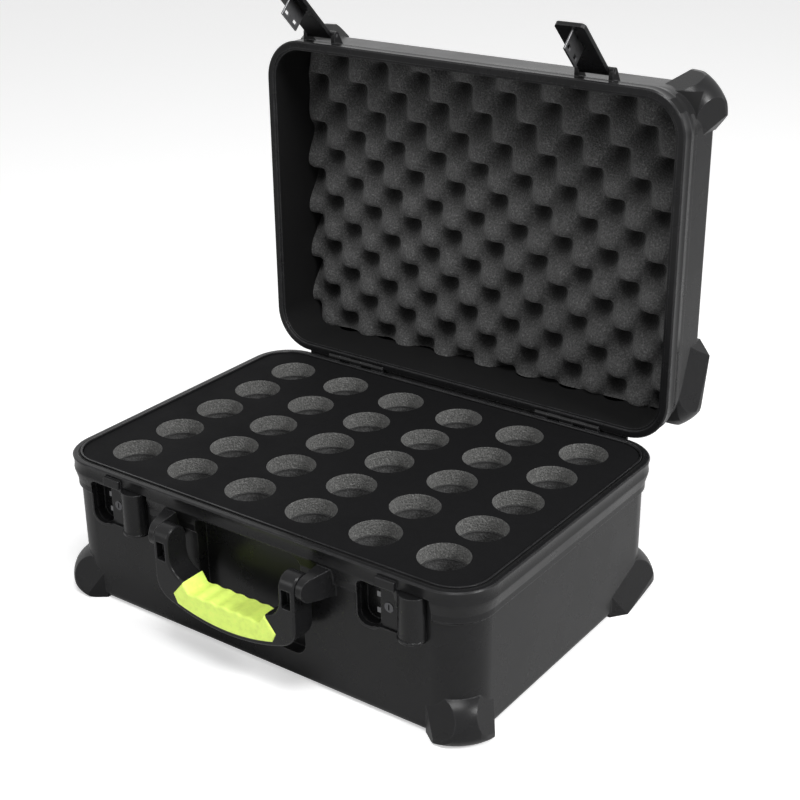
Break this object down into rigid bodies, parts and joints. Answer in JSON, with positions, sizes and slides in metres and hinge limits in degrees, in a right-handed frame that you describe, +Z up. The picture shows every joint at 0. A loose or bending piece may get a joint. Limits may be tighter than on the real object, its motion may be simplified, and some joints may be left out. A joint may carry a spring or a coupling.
{
  "type": "microphone case",
  "caption": "Hard case with a hinged lid, a foam deck of round microphone holes, egg-crate lid foam, keyed sliding latches and a swinging front handle",
  "frame": {"origin": "centre of the flat underside of the base, where the case stands", "axes": "+Z up, front with handle and latches faces -Y, +X to the right seen from the front"},
  "size_m": [0.4826, 0.4431, 0.5414],
  "materials": {
    "case_plastic": "fine moulded grain, satin black",
    "latch_plastic": "smooth satin black",
    "seal_rubber": "matt black",
    "deck_foam": "charcoal open-cell foam with a smooth black skin on top",
    "block_foam": "dark charcoal open-cell foam",
    "lid_foam": "charcoal egg-crate foam",
    "grip_rubber": "soft matt lime green",
    "pin_steel": "plain ground steel",
    "bolt_steel": "plated pressed steel",
    "lock_chrome": "plated lock barrel"
  },
  "bodies": {
    "base": {"base_shell": "case_plastic", "base_seal": "seal_rubber", "foam_deck": "deck_foam", "foam_block": "block_foam", "hinge_pin_left": "pin_steel", "hinge_pin_right": "pin_steel", "handle_pin_left": "pin_steel", "handle_pin_right": "pin_steel", "latch_housing_left": "latch_plastic", "latch_housing_right": "latch_plastic"},
    "lid": {"lid_shell": "case_plastic", "lid_foam": "lid_foam", "hasp_pin_left": "pin_steel", "hasp_pin_right": "pin_steel"},
    "handle": {"handle_bail": "case_plastic", "handle_grip": "grip_rubber"},
    "slide_left": {"latch_slide_left": "latch_plastic", "latch_bolt_left": "bolt_steel"},
    "lock_left": {"key_cylinder_left": "lock_chrome"},
    "hasp_left": {"hasp_lever_left": "latch_plastic", "hasp_keeper_left": "bolt_steel"},
    "slide_right": {"latch_slide_right": "latch_plastic", "latch_bolt_right": "bolt_steel"},
    "lock_right": {"key_cylinder_right": "lock_chrome"},
    "hasp_right": {"hasp_lever_right": "latch_plastic", "hasp_keeper_right": "bolt_steel"}
  },
  "joints": [
    {"name": "lid_hinge", "type": "hinge", "parent": "base", "child": "lid", "pos_m": [0, 0.1682, 0.1483], "axis": [1, 0, 0], "range_deg": [0, 90]},
    {"name": "handle_swing", "type": "hinge", "parent": "base", "child": "handle", "pos_m": [0, -0.1864, 0.116], "axis": [-1, 0, 0], "range_deg": [0, 100]},
    {"name": "latch_slide_left", "type": "slide", "parent": "base", "child": "slide_left", "axis": [1, 0, 0], "range_m": [0, 0.0055], "stiffness_N_per_m": 300, "springref_m": -0.008},
    {"name": "key_turn_left", "type": "hinge", "parent": "base", "child": "lock_left", "pos_m": [-0.1625, -0.16, 0.1085], "axis": [0, -1, 0], "range_deg": [0, 90]},
    {"name": "hasp_swing_left", "type": "hinge", "parent": "lid", "child": "hasp_left", "pos_m": [0, 0.1809, 0.4919], "axis": [1, 0, 0], "range_deg": [0, 45], "stiffness_Nm_per_rad": 0.03, "springref_deg": -45.84},
    {"name": "latch_slide_right", "type": "slide", "parent": "base", "child": "slide_right", "axis": [1, 0, 0], "range_m": [0, 0.0055], "stiffness_N_per_m": 300, "springref_m": -0.008},
    {"name": "key_turn_right", "type": "hinge", "parent": "base", "child": "lock_right", "pos_m": [0.1515, -0.16, 0.1085], "axis": [0, -1, 0], "range_deg": [0, 90]},
    {"name": "hasp_swing_right", "type": "hinge", "parent": "lid", "child": "hasp_right", "pos_m": [0, 0.1809, 0.4919], "axis": [1, 0, 0], "range_deg": [0, 45], "stiffness_Nm_per_rad": 0.03, "springref_deg": -45.84}
  ]
}
